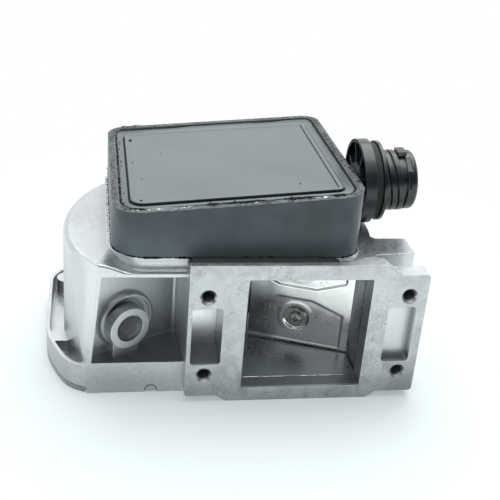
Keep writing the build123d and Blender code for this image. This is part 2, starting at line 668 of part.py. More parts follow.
def spring_wheel():
    # toothed cup that sets the spring's preload
    r = WHEEL_R
    body = cyl(r - 1.6, PX, PY, WHEEL_Z, WHEEL_Z + 5.0)
    teeth = []
    for k in range(60):
        teeth.append(polar(r - 1.7, 6 * k))
        teeth.append(polar(r, 6 * k + 1.6))
        teeth.append(polar(r, 6 * k + 3.0))
        teeth.append(polar(r - 1.7, 6 * k + 4.6))
    body += slab(make_face(Polyline(*teeth, close=True)), WHEEL_Z, WHEEL_Z + 2.4)
    body -= cyl(SPRING_R + 1.0, PX, PY, WHEEL_Z + 1.2, WHEEL_Z + 6)
    body -= cyl(9.7, PX, PY, WHEEL_Z - 1, WHEEL_Z + 2)
    return body + cyl(0.9, PX, PY - SPRING_R + 0.5, WHEEL_Z + 1.0, WHEEL_Z + 5.0)


def wheel_detent():
    x, y = DETENT
    z = WHEEL_Z + 1.2
    tip = PX + WHEEL_R
    body = cyl(3.2, x, y, z, z + 0.5) + block(tip + 0.3, x, y - 2.4, y + 2.4, z, z + 0.5)
    body += block(tip - 1.1, tip + 0.6, y - 0.68, y + 0.02, z - 0.4, z + 0.5)
    return body - cyl(1.3, x, y, z - 1, z + 2)


def detent_screw():
    x, y = DETENT
    z = WHEEL_Z + 1.7
    body = cyl(1.09, x, y, z - 2.5, z + 0.1) + cyl(2.4, x, y, z, z + 1.6)
    return body - Pos(x, y, z + 1.4) * Box(0.6, 3.6, 0.8)


def return_spring():
    # flat spiral strip, inner end in the collar, outer end on the wheel's post
    turns = 5.5
    r0, r1 = 6.15, SPRING_R - 1.56
    inner, outer = [], []
    steps = int(turns * 24)
    for k in range(steps + 1):
        f = k / steps
        a = math.radians(270 + 360 * turns * (f - 1))
        r = r0 + (r1 - r0) * f
        inner.append((PX + (r - 0.14) * math.cos(a), PY + (r - 0.14) * math.sin(a)))
        outer.append((PX + (r + 0.14) * math.cos(a), PY + (r + 0.14) * math.sin(a)))
    strip = make_face(Polyline(*inner, *reversed(outer), close=True))
    return slab(strip, WHEEL_Z + 1.6, WHEEL_Z + 4.6)


def temperature_sensor():
    x, y = SENSOR_X, SENSOR_Y
    top = CASE_BOTTOM + CASE_FLOOR
    body = cyl(SENSOR_R - 0.04, x, y, CEILING_Z, top + 0.1) + cyl(5.2, x, y, top, top + 1.2)
    body += cyl(2.5, x, y, 19.4, CEILING_Z + 0.1)
    tip = Pos(x, y, 19.4) * Sphere(2.5)
    return body + tip + cyl(0.5, x - 1.5, y, top + 1, top + 4) + cyl(0.5, x + 1.5, y, top + 1, top + 4)


def flap_stops():
    group = []
    for a in STOP_ANGLES:
        x, y = polar(STOP_AT, a)
        ring = cyl(4.0, x, y, CEILING_Z - 14.5, CEILING_Z - 1.0)
        group.append(ring - cyl(2.02, x, y, CEILING_Z - 20, CEILING_Z + 1))
    return Compound(group)


def arm_frame(deg, z=0.0):
    # frame on the shaft axis turned to a direction: X outwards, Y ahead, Z up
    return Pos(PX, PY, z) * Rot(0, 0, deg)


FLAP_B, FLAP_T = -23.5, 24.4


def rotor_shaft():
    body = cyl(SHAFT_R, PX, PY, BASE_Z + 2.2, WHEEL_Z - 0.6)
    body += cyl(3.0, PX, PY, WHEEL_Z - 1, 45.0)
    body = chamfer(body.edges().sort_by(Axis.Z)[-1], 0.5)
    body -= arm_frame(60, 0) * Rot(0, 90, 0) * Cylinder(1.25, 30)
    return body - (cyl(4, PX, PY, 43.6, 44.2) - cyl(2.5, PX, PY, 43, 45))


def vane_casting():
    # hub, damper flap and the arm behind the measuring flap, one casting
    mid = (FLAP_B + FLAP_T) / 2
    high = FLAP_T - FLAP_B
    body = cyl(HUB_R, PX, PY, FLAP_B, FLAP_T)
    x0 = 5.0
    damper = Pos((DAMP_R + x0) / 2, 0, mid) * Box(DAMP_R - x0, 3.0, high)
    rib = Pos(34, -2.2, mid) * Box(56, 2.0, 4.0)
    body += arm_frame(REST + SPREAD) * (damper + rib)
    arm = Pos(21.0, 4.25, mid) * Box(38, 3.6, 9.0)
    for z in (-FLAP_SCREW_Z, FLAP_SCREW_Z):
        arm += Pos(FLAP_SCREW_S, 4.45, mid + z) * Rot(90, 0, 0) * Cylinder(4.6, 4.0)
        arm += Pos(FLAP_SCREW_S - 9, 3.85, mid + z * 0.62) * Box(26, 2.8, 15.0)
    body += arm_frame(REST) * arm
    body -= cyl(SHAFT_R + 0.02, PX, PY, -40, 40)
    for z in (-FLAP_SCREW_Z, FLAP_SCREW_Z):
        body -= arm_frame(REST) * Pos(FLAP_SCREW_S, 4, mid + z) * Rot(90, 0, 0) * Cylinder(1.3, 20)
    return body - arm_frame(60, 0) * Rot(0, 90, 0) * Cylinder(1.25, 30)


def vane_pin():
    return arm_frame(60, 0) * Rot(0, 90, 0) * Cylinder(1.22, 15.4)


def flap_face(*pts):
    return extrude(Plane.XZ * make_face(Polyline(*pts, close=True)), -0.5)


def measuring_flap():
    # plate with two sunk panels, an hourglass band between them, and two screw dimples
    mid = (FLAP_B + FLAP_T) / 2
    x0, x1 = HUB_R + 0.2, FLAP_R
    plate = Pos((x0 + x1) / 2, 1.1, mid) * Box(x1 - x0, 2.2, FLAP_T - FLAP_B)
    low = flap_face((9.0, -23.8), (9.0, -7.0), (20.8, -2.4), (34.8, -2.4), (48.0, -7.2), (48.0, -23.8))
    up = flap_face((9.0, 24.8), (9.0, 7.8), (20.5, 3.2), (35.9, 3.2), (48.0, 8.0), (48.0, 24.8))
    plate -= low + up
    for z in (-FLAP_SCREW_Z, FLAP_SCREW_Z):
        at = Pos(FLAP_SCREW_S, 0, mid + z) * Rot(90, 0, 0)
        plate -= at * Cylinder(5.8, 2.0)
        plate += at * Pos(0, 0, -1.9) * Cylinder(5.9, 1.0)
        plate -= at * Cylinder(1.6, 20)
    return arm_frame(REST) * plate


def flap_screws():
    mid = (FLAP_B + FLAP_T) / 2
    group = []
    for z in (-FLAP_SCREW_Z, FLAP_SCREW_Z):
        at = arm_frame(REST) * Pos(FLAP_SCREW_S, 0, mid + z) * Rot(90, 0, 0)
        head = Pos(0, 0, 0.55) * Cylinder(2.8, 1.9)
        head = fillet(head.edges().sort_by(Axis.Z)[-1], 0.9)
        one = head + Pos(0, 0, -3.2) * Cylinder(1.28, 7.0)
        one -= Pos(0, 0, 1.3) * Box(2.9, 0.65, 1.4)
        one -= Pos(0, 0, 1.3) * Box(0.65, 2.9, 1.4)
        group.append(at * one)
    return Compound(group)


def flap_washers():
    mid = (FLAP_B + FLAP_T) / 2
    group = []
    for z in (-FLAP_SCREW_Z, FLAP_SCREW_Z):
        at = arm_frame(REST) * Pos(FLAP_SCREW_S, 0, mid + z) * Rot(90, 0, 0)
        group.append(at * (Pos(0, 0, -0.7) * Cylinder(4.3, 0.6) - Cylinder(1.35, 9)))
    return Compound(group)


def spring_collar():
    body = cyl(6.0, PX, PY, WHEEL_Z + 1.3, WHEEL_Z + 6.4)
    return body - cyl(3.02, PX, PY, 0, 60)


def wiper_arm():
    # pressed arm: hub plate, tapered blade to the track, short tail for the weight
    z = WIPER_Z
    body = cyl(6.0, PX, PY, WHEEL_Z + 6.5, z + 1.2)
    blade = Polyline((0, -5.0), (TRACK_R + 2.5, -3.4), (TRACK_R + 2.5, 3.4), (0, 5.0), close=True)
    tail = Polyline((0, -4.4), (0, 4.4), (-25.0, 4.4), (-25.0, -4.4), close=True)
    flat = arm_frame(WIPER, z) * extrude(make_face(blade), 0.8)
    flat += arm_frame(WIPER, z) * extrude(make_face(tail), 0.8)
    body += flat
    return body - cyl(3.02, PX, PY, 0, 60)


def wiper_contacts():
    group = []
    for y in (-2.0, 2.0):
        foot = Pos(TRACK_R - 0.2, y, -0.52) * Box(3.0, 1.2, 1.0)
        group.append(arm_frame(WIPER, WIPER_Z) * foot)
    return Compound(group)


def counterweight():
    at = arm_frame(WIPER, WIPER_Z)
    body = Pos(-20.0, 0, -0.9) * Cylinder(4.8, 1.8)
    body += Pos(-20.0, 0, 1.7) * Cylinder(4.8, 1.8)
    body -= Pos(0, 0, 0) * Pos(-20, 0, 0.4) * Box(12, 12, 0.84)
    return at * body


def shaft_clip():
    body = cyl(4.4, PX, PY, 43.65, 44.15) - cyl(2.55, PX, PY, 43, 45)
    return body - Pos(PX + 3, PY, 43.9) * Box(6, 2.4, 2)


NODES = [main_housing, base_cover, cover_gasket, cover_screws, lower_bearing, upper_bearing,
         mixture_screw, electronics_case, connector_shell, connector_seal, connector_insert,
         connector_pins, case_lid, lid_sealant, case_sealant, track_board, board_screws,
         terminal_strips, spring_wheel, wheel_detent, detent_screw, return_spring,
         temperature_sensor, flap_stops, rotor_shaft, vane_casting, vane_pin, measuring_flap,
         flap_screws, flap_washers, spring_collar, wiper_arm, wiper_contacts, counterweight,
         shaft_clip]

if __name__ == "__main__":
    os.makedirs("parts", exist_ok=True)
    for make in NODES:
        export_step(make(), "parts/" + make.__name__ + ".step")
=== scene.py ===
import json
import math
import random

import bpy
from mathutils import Matrix, Vector, noise


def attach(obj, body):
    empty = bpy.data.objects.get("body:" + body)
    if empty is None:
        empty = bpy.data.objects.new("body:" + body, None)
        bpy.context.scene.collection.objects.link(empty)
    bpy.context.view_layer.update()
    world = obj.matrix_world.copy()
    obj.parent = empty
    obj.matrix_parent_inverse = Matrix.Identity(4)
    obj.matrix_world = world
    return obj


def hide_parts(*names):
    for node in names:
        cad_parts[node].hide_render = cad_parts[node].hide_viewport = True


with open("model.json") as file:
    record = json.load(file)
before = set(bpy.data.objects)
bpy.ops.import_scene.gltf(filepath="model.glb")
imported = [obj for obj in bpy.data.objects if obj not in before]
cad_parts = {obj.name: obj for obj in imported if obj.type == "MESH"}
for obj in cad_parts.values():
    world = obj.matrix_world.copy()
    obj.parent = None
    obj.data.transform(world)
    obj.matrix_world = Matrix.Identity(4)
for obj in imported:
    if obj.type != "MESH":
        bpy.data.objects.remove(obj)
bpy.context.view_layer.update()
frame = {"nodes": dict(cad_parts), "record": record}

MM = 0.001

# ---------------------------------------------------------------- sizes shared with the solids, mm
FLOOR_Z = -29.3                         # underside of the base cover
PX, PY = -23.0, 43.5                    # axis of the flap's shaft
FRONT_Y = 7.5                           # front of the housing beside the flange
CASE = (-74.6, 21.4, 11.0, 108.5)       # boxes are x from, x to, y from, y to
LID = (-70.8, 17.6, 14.8, 104.7)
PANEL = (-67.5, 13.2, 18.3, 96.2)       # raised middle of the lid
CASE_RADII = (13, 10, 8, 8)             # front left, front right, back right, back left
LID_RADII = (9.2, 6.2, 4.2, 4.2)
PANEL_RADII = (5.5, 2.5, 2.5, 2.5)
CASE_BOTTOM = 28.5
TOP_AT_0, TOP_SLOPE = 52.1, math.radians(5.15)
LID_TOP, PANEL_TOP = -0.3, 0.42         # heights over the case's sloping top
BOSS_FACE = (-66.94, 12.52, -3.2)       # middle of the slanted boss's rim
BOSS_SLANT = math.radians(28.5)
HOLE_X, HOLE_Z = 39.0, 17.2             # the flange's tapped holes
HOLES = [(x, z) for x in (-HOLE_X, HOLE_X) for z in (-HOLE_Z, HOLE_Z)]

# ---------------------------------------------------------------- the photograph's camera
PICTURE_PX, FOCAL_PX, SENSOR_MM = 500, 906.5, 36
CAMERA_AT = (-81.82, -290.43, 181.30)
CAMERA_TURN = (11.055, 25.99, 4.949)    # yaw, pitch down and roll, degrees

# ---------------------------------------------------------------- marks, mm
# on the flange's face: x, z, half width, half height
STAINS = [(-16, 28.9, 8, 1.4), (6, 28.2, 7, 1.5), (25.5, 29, 4, 1.2), (26.4, -1.5, 1.7, 4.5),
          (30.4, 7, 2.4, 6), (-30.6, -6.5, 1.5, 5), (-37, -23.4, 8, 2.6), (-11, -26.6, 14, 1.8),
          (45, 2, 1.1, 9), (-43.5, 27.5, 3, 2.5)]
# on the case's rim, painted glints and torn bits: x, y, half width, half height
PAINTED_GLINTS = [(-55, 13.2, 9.5, 0.8), (-22.5, 13.6, 2.6, 0.9), (3.5, 13.2, 2.5, 0.6)]
TORN_BITS = [(-37, 14.3, 3.6, 0.9), (-25.5, 14.4, 8.0, 0.7), (-5.2, 14.2, 7.0, 1.2),
             (10.6, 14.5, 3.0, 1.1), (-66.5, 15.2, 4.0, 0.9)]
# film that stands up: start x, start y, length, width, slope
CURLS = [(-62.5, 14.0, 15.0, 0.9, 0.04), (-47.0, 13.4, 4.0, 0.7, 0.2), (-36.5, 13.3, 3.0, 0.6, -0.1),
         (-22.0, 13.0, 9.0, 0.55, 0.03), (-3.5, 13.4, 6.5, 0.6, -0.05), (10.0, 13.6, 3.0, 0.7, 0.15),
         (-66.0, 105.6, 8.0, 0.9, 0.06)]
# crumbs that stand out on the lid: x, y, radius
LID_CRUMBS = [(-65.2, 87.8, 0.75), (-65.2, 61.3, 0.3), (-62.3, 42.6, 0.3), (-63.6, 21.6, 0.5),
              (-54.1, 74.0, 0.25), (-53.1, 69.6, 0.25), (-2.3, 26.9, 0.3)]
FOOT_MARK = (-58.7, -28.4)              # x, z of the half round on the foot band


def top_z(x, off=0.0):
    """Height of the sloping top at x, shifted by off along its normal."""
    return TOP_AT_0 + x * math.tan(TOP_SLOPE) + off / math.cos(TOP_SLOPE)


def smooth(v, a, b):
    """0 at a, 1 at b, eased at both ends."""
    t = min(1.0, max(0.0, (v - a) / (b - a)))
    return t * t * (3 - 2 * t)


def rough_noise(x, y, z, scale):
    """Even noise, about -1 to 1."""
    return noise.noise(Vector((x, y, z)) * scale)


def link(ob):
    bpy.context.scene.collection.objects.link(ob)
    return ob


# ---------------------------------------------------------------- camera and lights
def make_camera():
    yaw, pitch, roll = (math.radians(a) for a in CAMERA_TURN)
    ahead = Vector((math.sin(yaw) * math.cos(pitch), math.cos(yaw) * math.cos(pitch), -math.sin(pitch)))
    level = Vector((math.cos(yaw), -math.sin(yaw), 0))
    up = level.cross(ahead)
    right = level * math.cos(roll) + up * math.sin(roll)
    top = up * math.cos(roll) - level * math.sin(roll)
    data = bpy.data.cameras.new("camera")
    data.sensor_width = SENSOR_MM
    data.lens = SENSOR_MM * FOCAL_PX / PICTURE_PX
    data.clip_start = 0.01
    cam = link(bpy.data.objects.new("camera", data))
    place = Matrix.Translation(Vector(CAMERA_AT) * MM)
    cam.matrix_world = place @ Matrix((right, top, -ahead)).transposed().to_4x4()
    bpy.context.scene.camera = cam


def soft_light(name, at, side, power):
    """Square, faintly cool area light that faces the object; metres and watts."""
    target = Vector((-0.01, 0.05, 0.0))
    data = bpy.data.lights.new(name, "AREA")
    data.shape = "RECTANGLE"
    data.size = data.size_y = side
    data.energy = power
    data.color = (0.97, 1.0, 1.0)
    ob = link(bpy.data.objects.new(name, data))
    ob.location = at
    ob.rotation_euler = (target - Vector(at)).to_track_quat("-Z", "Y").to_euler()
    ob.visible_camera = False


# ---------------------------------------------------------------- node helpers
class Tree:
    """Short calls for building one node tree."""

    def __init__(self, tree):
        self.t = tree

    def put(self, socket, value):
        if isinstance(value, bpy.types.NodeSocket):
            self.t.links.new(value, socket)
        elif value is not None:
            socket.default_value = value

    def node(self, kind, inputs=None, **attrs):
        n = self.t.nodes.new("ShaderNode" + kind)
        for k, v in attrs.items():
            setattr(n, k, v)
        for k, v in (inputs or {}).items():
            self.put(n.inputs[k], v)
        return n

    def where(self):
        return self.node("TexCoord").outputs["Object"]

    def axes(self, vector):
        """The vector's x, y and z."""
        return [self.node("SeparateXYZ", {0: vector}).outputs[k] for k in "XYZ"]

    def stretch(self, scale, turn=(0, 0, 0)):
        return self.node("Mapping", {"Vector": self.where(), "Scale": scale, "Rotation": turn}).outputs[0]

    def grain(self, scale, detail=3.0, rough=0.55, at=None, warp=0.0):
        return self.node("TexNoise", {"Vector": at or self.where(), "Scale": scale, "Detail": detail,
                                      "Roughness": rough, "Distortion": warp}).outputs["Fac"]

    def span(self, v, a, b, lo=0.0, hi=1.0):
        """lo where v is a, hi where it is b, eased between them."""
        n = self.node("MapRange", {"Value": v, "From Min": a, "From Max": b, "To Min": lo, "To Max": hi})
        n.interpolation_type = "SMOOTHSTEP"
        return n.outputs[0]

    def rise(self, v, a, b, lo=0.0, hi=1.0):
        """The same with a and b in millimetres."""
        return self.span(v, a * MM, b * MM, lo, hi)

    def math(self, op, a, b=0.0):
        return self.node("Math", {0: a, 1: b}, operation=op).outputs[0]

    def vector(self, op, a, b=None, output=0):
        return self.node("VectorMath", {0: a, 1: b}, operation=op).outputs[output]

    def product(self, first, *others):
        for v in others:
            first = self.math("MULTIPLY", first, v)
        return first

    def hypot(self, a, b):
        return self.math("SQRT", self.math("ADD", self.math("POWER", a, 2.0), self.math("POWER", b, 2.0)))

    def blend(self, fac, a, b):
        n = self.node("Mix", data_type="RGBA")
        self.put(n.inputs["Factor"], fac)
        self.put(n.inputs[6], a if isinstance(a, bpy.types.NodeSocket) else (*a, 1.0))
        self.put(n.inputs[7], b if isinstance(b, bpy.types.NodeSocket) else (*b, 1.0))
        return n.outputs[2]

    def tint(self, colour, mask, strength, tone):
        """The colour, drawn towards a tone where the mask is 1."""
        return self.blend(self.math("MULTIPLY", mask, strength), colour, tone)

    def rounded(self, radius, samples=6):
        """Normal as if the edges were rounded."""
        return self.node("Bevel", {"Radius": radius}, samples=samples).outputs[0]

    def edges(self, radius):
        """1 on sharp edges, 0 on flats: how far a rounded normal leans from the true one."""
        true = self.node("NewGeometry").outputs["Normal"]
        return self.span(self.vector("DOT_PRODUCT", self.rounded(radius), true, "Value"), 0.995, 0.86)

    def hollows(self, distance):
        """1 in corners and holes, 0 in the open."""
        ao = self.node("AmbientOcclusion", {"Distance": distance}, samples=8).outputs["AO"]
        return self.span(ao, 0.85, 0.25)

    def spots(self, places, flat=False):
        """1 near places on the flange's face, or on a flat top: (x, z or y, half width, half height), mm."""
        mask = 0.0
        for x, b, rx, rb in places:
            at = (x * MM, b * MM, 0) if flat else (x * MM, 0, b * MM)
            per = (1 / (rx * MM), 1 / (rb * MM), 0) if flat else (1 / (rx * MM), 0, 1 / (rb * MM))
            rel = self.vector("MULTIPLY", self.vector("SUBTRACT", self.where(), at), per)
            one = self.span(self.vector("LENGTH", rel, output="Value"), 1.5, 0.4)
            mask = self.math("MAXIMUM", mask, one)
        return mask

    def within(self, *limits, soft=0.2):
        """1 between the limits, each (value, low, high), mm."""
        mask = 1.0
        for v, low, high in limits:
            mask = self.product(mask, self.rise(v, low - soft, low), self.rise(v, high + soft, high))
        return mask

    def bump(self, height, strength, distance, normal=None):
        return self.node("Bump", {"Height": height, "Strength": strength, "Distance": distance,
                                  "Normal": normal}).outputs[0]


# ---------------------------------------------------------------- materials
MATERIALS = {}


def start_material(name):
    mat = bpy.data.materials.new(name)
    mat.use_nodes = True
    mat.node_tree.nodes.clear()
    MATERIALS[name] = mat
    return Tree(mat.node_tree)


def finish_material(t, colour, rough, metal=0.0, normal=None, **extra):
    inputs = {"Base Color": colour, "Roughness": rough, "Metallic": metal, "Normal": normal}
    inputs.update(extra)
    out = t.node("OutputMaterial")
    t.put(out.inputs[0], t.node("BsdfPrincipled", inputs).outputs[0])


def scaled(colour, factor, add=0.0):
    """The colour made darker or lighter, 1 at most."""
    return tuple(min(1.0, c * factor + add) for c in colour)


def flange_stains_and_shade(t, colour, y, z):
    """Worn patches, specks, and painted shade that darkens the lower half of the flange's face."""
    face = t.rise(y, 0.9, 0.2)
    ragged = t.span(t.grain(260.0, 5.0, 0.75, warp=0.9), 0.42, 0.66)
    worn = t.product(t.spots(STAINS), ragged, face)
    cloudy = t.product(t.span(t.grain(60.0, 4.0, 0.7, warp=0.5), 0.46, 0.66, 0.05, 0.75), face)
    speck = t.product(t.span(t.grain(1100.0, 2.0, 0.6), 0.52, 0.62), t.math("MAXIMUM", worn, cloudy))
    colour = t.tint(colour, worn, 0.35, (0.26, 0.28, 0.285))
    colour = t.tint(colour, speck, 0.75, (0.09, 0.10, 0.105))
    # painted shade: the face darker towards the bottom, in patches
    low = t.rise(z, 12, -32, 0.42, 0.62)
    patch = t.span(t.grain(85.0, 4.0, 0.7, warp=0.7), 0.34, 0.66, 0.55, 1.3)
    return t.tint(colour, t.product(low, face, patch), 1.0, (0.24, 0.26, 0.265))


def boss_dish(t, z):
    """1 in the dish round the slanted boss, where shade is painted."""
    from_boss = t.vector("SUBTRACT", t.where(), tuple(v * MM for v in BOSS_FACE))
    axis = (math.sin(BOSS_SLANT), -math.cos(BOSS_SLANT), 0)
    out = t.vector("DOT_PRODUCT", from_boss, axis, "Value")
    full = t.vector("LENGTH", from_boss, output="Value")
    squares = t.math("SUBTRACT", t.math("POWER", full, 2.0), t.math("POWER", out, 2.0))
    ring = t.math("SQRT", squares)
    return t.product(t.rise(ring, 11.2, 10.4), t.within((out, -30, -4.8)), t.rise(z, -15.2, -14.6))


def recess_shades(t, colour, x, y, z):
    """Painted shade on floors, bores and corners, a painted highlight on one wall, and a darker drum; ranges
    in mm.
    """
    wide, tall = t.math("ABSOLUTE", x), t.math("ABSOLUTE", z)
    pocket_floor = t.within((x, -83, -46.3), (y, 8, 32), (z, -16.1, -15.4))
    left_floor = t.within((x, -44.6, -33.1), (y, 1.2, 15.7), (z, -13.0, -12.1))
    left_back = t.product(t.within((x, -44.6, -33.1), (y, 15.6, 16.2)), t.rise(z, -9, 2))
    # painted shade on the pocket's floor, the left slot's floor and the boss's dish; a painted highlight on
    # the left slot's back wall
    colour = t.tint(colour, pocket_floor, 0.80, (0.15, 0.16, 0.17))
    colour = t.tint(colour, t.math("MAXIMUM", left_floor, boss_dish(t, z)), 0.65, (0.20, 0.21, 0.22))
    colour = t.tint(colour, left_back, 1.0, (0.95, 0.97, 0.98))
    # painted shade in the flange's bores and in the right slot's corner
    from_hole = t.hypot(t.math("SUBTRACT", wide, HOLE_X * MM), t.math("SUBTRACT", tall, HOLE_Z * MM))
    bore = t.product(t.rise(y, 0.8, 2.2), t.rise(y, 7.8, 7.5), t.rise(from_hole, 3.4, 3.1))
    colour = t.tint(colour, bore, 0.75, (0.10, 0.11, 0.115))
    corner = t.product(t.math("MAXIMUM", t.rise(x, 42.0, 42.5), t.rise(z, -11.6, -12.2)),
                       t.rise(x, 30, 31), t.rise(x, 43.0, 42.8), t.rise(tall, 12.7, 12.5),
                       t.rise(y, 1.0, 1.8), t.rise(y, 7.9, 7.6))
    colour = t.tint(colour, corner, 0.65, (0.17, 0.18, 0.185))
    # the drum's wall and roof drawn darker
    from_shaft = t.hypot(t.math("SUBTRACT", x, PX * MM), t.math("SUBTRACT", y, PY * MM))
    drum_wall = t.product(t.rise(from_shaft, 67.2, 68.8), t.rise(y, 10, 14))
    drum_roof = t.product(t.rise(z, 25.8, 26.6), t.rise(z, 27.9, 27.5))
    drum = t.product(t.math("MAXIMUM", drum_wall, drum_roof), t.rise(x, -40, -48))
    colour = t.tint(colour, drum, 0.36, (0.34, 0.36, 0.37))
    # painted shade on the sill across the mouth's floor
    sill = t.product(t.rise(z, -22.2, -22.8), t.rise(wide, 26.2, 25.5), t.rise(y, 1.0, 1.6),
                     t.rise(y, 16, 13))
    return t.tint(colour, sill, 0.8, (0.17, 0.18, 0.185))


def cast_metal(name, light, dark, rough, pitted=1.0, is_housing=False):
    """Die-cast aluminium: satin, faint cloud, sand grain, pits, painted shade in hollows, edges lightened
    partly as rubbing and partly as a painted highlight, stains and painted shade on the housing.
    """
    t = start_material(name)
    clouds = t.grain(26.0, 3.0, 0.5)
    mottle = t.grain(520.0, 3.0, 0.6)
    tone = t.math("ADD", t.math("MULTIPLY", mottle, 0.4), t.math("MULTIPLY", clouds, 0.6))
    colour = t.blend(t.span(tone, 0.36, 0.62), dark, light)
    pits = t.product(t.span(t.grain(1700.0, 2.0, 0.5), 0.64, 0.72),
                     t.span(t.grain(110.0, 3.0, 0.6, warp=0.4), 0.50, 0.62))
    colour = t.tint(colour, pits, 0.6 * pitted, (0.16, 0.17, 0.175))
    if is_housing:
        x, y, z = t.axes(t.where())
        colour = flange_stains_and_shade(t, colour, y, z)
        colour = recess_shades(t, colour, x, y, z)
    # painted shade in hollows; edges lighter, partly rubbed and partly a painted highlight
    colour = t.tint(colour, t.hollows(0.0016), 0.3, (0.20, 0.215, 0.225))
    colour = t.tint(colour, t.edges(0.0005), 0.45, (0.86, 0.89, 0.90))
    grit = t.grain(2600.0, 2.0, 0.6)
    height = t.math("SUBTRACT", t.math("MULTIPLY", grit, 0.5), t.math("MULTIPLY", pits, 0.8))
    normal = t.bump(height, 0.3, 0.0001, t.bump(clouds, 0.12, 0.0006, t.rounded(0.00045)))
    roughness = t.math("ADD", t.span(mottle, 0.3, 0.7, -0.04, 0.05),
                       t.span(clouds, 0.3, 0.7, rough - 0.03, rough + 0.05))
    finish_material(t, colour, roughness, 0.92, normal)


def flap_metal(name, base, rough):
    """The flap's smooth casting: near mirror, slightly wavy, dull specks, painted shade in its screw seats
    and other hollows.
    """
    t = start_material(name)
    clouds = t.grain(70.0, 3.0, 0.5)
    colour = t.blend(t.span(clouds, 0.35, 0.65), scaled(base, 0.88), base)
    dirt = t.product(t.span(t.grain(900.0, 3.0, 0.6), 0.56, 0.66),
                     t.span(t.grain(95.0, 3.0, 0.6), 0.54, 0.64))
    colour = t.tint(colour, dirt, 0.45, (0.22, 0.24, 0.24))
    # painted shade in hollows
    colour = t.tint(colour, t.hollows(0.0014), 0.4, (0.12, 0.13, 0.135))
    wave = t.grain(130.0, 2.0, 0.4, warp=0.5)
    fine = t.grain(1.0, 2.0, 0.5, at=t.stretch((500.0, 500.0, 90.0)))
    normal = t.bump(fine, 0.05, 0.00004, t.bump(wave, 0.10, 0.0004, t.rounded(0.0003)))
    roughness = t.math("ADD", t.span(clouds, 0.3, 0.7, rough - 0.03, rough + 0.04),
                       t.math("MULTIPLY", dirt, 0.3))
    finish_material(t, colour, roughness, 1.0, normal)


def plain_metal(name, base, rough):
    """Turned or pressed metal with a little tarnish, painted shade in hollows and lighter edges, partly
    rubbed and partly a painted highlight.
    """
    t = start_material(name)
    fine = t.grain(1.0, 3.0, 0.6, at=t.stretch((400.0, 400.0, 400.0)))
    tarnish = t.grain(260.0, 3.0, 0.6)
    colour = t.blend(t.span(tarnish, 0.42, 0.66), base, scaled(base, 0.7))
    # painted shade in hollows; edges lighter, partly rubbed and partly a painted highlight
    colour = t.tint(colour, t.hollows(0.0012), 0.75, scaled(base, 0.15))
    colour = t.tint(colour, t.edges(0.00025), 0.5, scaled(base, 1.25))
    normal = t.bump(fine, 0.2, 0.00005, t.rounded(0.0002, samples=4))
    finish_material(t, colour, t.span(fine, 0.3, 0.7, rough - 0.07, rough + 0.09), 1.0, normal)


def moulded(name, base, rough, dust_and_sheen=0.0, dust_and_sheen_colour=(0.33, 0.36, 0.365), scuff=0.3, round_edge=0.0004,
            shine=0.5, edge_wear_and_highlight=0.35, foot=None):
    """Moulded plastic: fine grain, faint cloud, scratches, edges lightened partly as rubbing and partly as a
    painted highlight, dusty tops with painted sheen, a foot painted lighter against its shade.
    """
    t = start_material(name)
    clouds = t.grain(40.0, 4.0, 0.6)
    colour = t.blend(t.span(clouds, 0.35, 0.65), scaled(base, 0.78), scaled(base, 1.25))
    lines = t.grain(1.0, 2.0, 0.5, at=t.stretch((55.0, 900.0, 900.0), (0.0, 0.1, 0.35)))
    lines = t.product(t.span(lines, 0.66, 0.72), t.span(t.grain(120.0, 2.0), 0.5, 0.6))
    colour = t.tint(colour, lines, scuff, scaled(base, 2.2, 0.08))
    if dust_and_sheen:
        # the tops lighter: partly dusty, partly a painted sheen
        up = t.axes(t.node("NewGeometry").outputs["Normal"])[2]
        film = t.product(t.span(up, 0.6, 0.97), t.span(t.grain(22.0, 3.0, 0.5), 0.25, 0.75, 0.85, 1.0))
        colour = t.tint(colour, film, dust_and_sheen, dust_and_sheen_colour)
    if foot:
        # painted light: the foot drawn lighter against its shade
        height = t.axes(t.where())[2]
        colour = t.blend(t.rise(height, foot + 17, foot, 0.0, 0.5), colour, scaled(base, 2.2))
    # painted shade in hollows; edges lighter, partly rubbed and partly a painted highlight
    colour = t.tint(colour, t.hollows(0.0011), 0.85, scaled(base, 0.12))
    colour = t.tint(colour, t.edges(0.0004), edge_wear_and_highlight, tuple(c * 2.0 + 0.05 for c in base))
    fine = t.grain(900.0, 2.0, 0.6)
    normal = t.bump(fine, 0.22, 0.00008, t.bump(clouds, 0.2, 0.0005, t.rounded(round_edge)))
    roughness = t.math("ADD", t.span(clouds, 0.3, 0.7, rough - 0.05, rough + 0.05),
                       t.math("MULTIPLY", lines, 0.1))
    finish_material(t, colour, roughness, 0.0, normal, **{"Specular IOR Level": shine})


def smeared(name, dark, pale):
    """Torn sealing film: blotchy, part glossy and part dull, wrinkled, with pale bits that are painted
    glints, black torn bits, painted shade in hollows and a painted highlight on edges.
    """
    t = start_material(name)
    blotch = t.grain(170.0, 4.0, 0.65, warp=1.2)
    colour = t.blend(t.span(blotch, 0.42, 0.60), dark, pale)
    ragged = t.grain(420.0, 4.0, 0.75, warp=1.0)
    # pale bits: painted glints on the film
    bits = t.product(t.spots(PAINTED_GLINTS, True), t.span(ragged, 0.36, 0.48))
    colour = t.blend(bits, colour, (0.80, 0.86, 0.86))
    torn = t.product(t.spots(TORN_BITS, True), t.span(ragged, 0.62, 0.50))
    colour = t.blend(torn, colour, (0.004, 0.005, 0.005))
    # painted shade in hollows, a painted highlight on edges
    colour = t.tint(colour, t.hollows(0.0012), 0.9, (0.010, 0.012, 0.012))
    colour = t.tint(colour, t.edges(0.0003), 0.35, (0.30, 0.35, 0.34))
    normal = t.bump(t.grain(190.0, 3.0, 0.6, warp=0.8), 0.9, 0.0010)
    shine = t.math("MULTIPLY", t.math("SUBTRACT", 1.0, torn), 0.32)
    roughness = t.span(blotch, 0.35, 0.65, 0.14, 0.45)
    finish_material(t, colour, roughness, 0.0, normal, **{"Specular IOR Level": shine})


